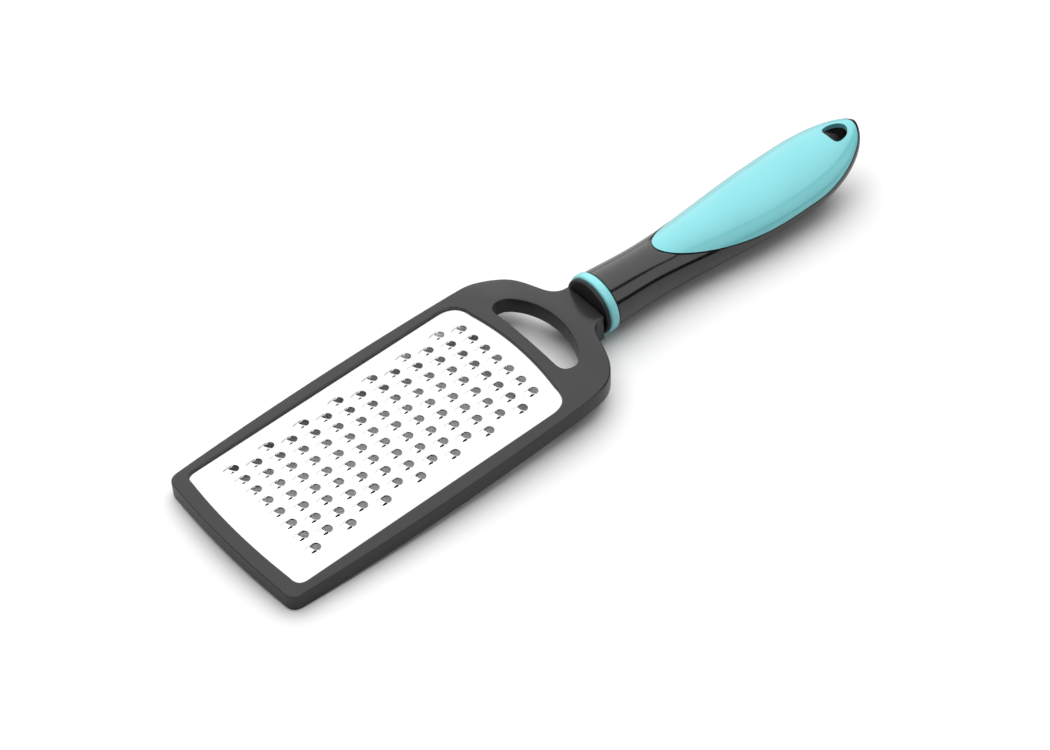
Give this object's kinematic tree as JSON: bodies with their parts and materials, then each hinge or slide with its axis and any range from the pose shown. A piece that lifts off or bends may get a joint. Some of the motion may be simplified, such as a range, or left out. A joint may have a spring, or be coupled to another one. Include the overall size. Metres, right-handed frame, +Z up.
{
  "type": "hand-held cheese grater",
  "caption": "Paddle-shaped cheese grater: an arched steel plate with rows of raised scoop teeth in a black moulded frame, on a rounded handle with a soft turquoise grip and a hang hole.",
  "frame": {"origin": "bottom centre of the bounding box, on the table that the grater lies on", "axes": "+X from the tip of the head to the tail of the handle, +Y across the head, +Z up from the table, on the side of the teeth"},
  "size_m": [0.2722, 0.0678, 0.0227],
  "materials": {
    "plate_steel": "bright rolled stainless sheet",
    "frame_plastic": "satin moulded plastic",
    "handle_plastic": "glossy moulded plastic",
    "ring_plastic": "smooth satin plastic",
    "grip_rubber": "smooth soft-touch elastomer"
  },
  "bodies": {
    "root": {"grating_plate": "plate_steel", "head_frame": "frame_plastic", "handle_nose": "handle_plastic", "collar_ring": "ring_plastic", "handle_core": "handle_plastic", "grip": "grip_rubber"}
  },
  "joints": []
}
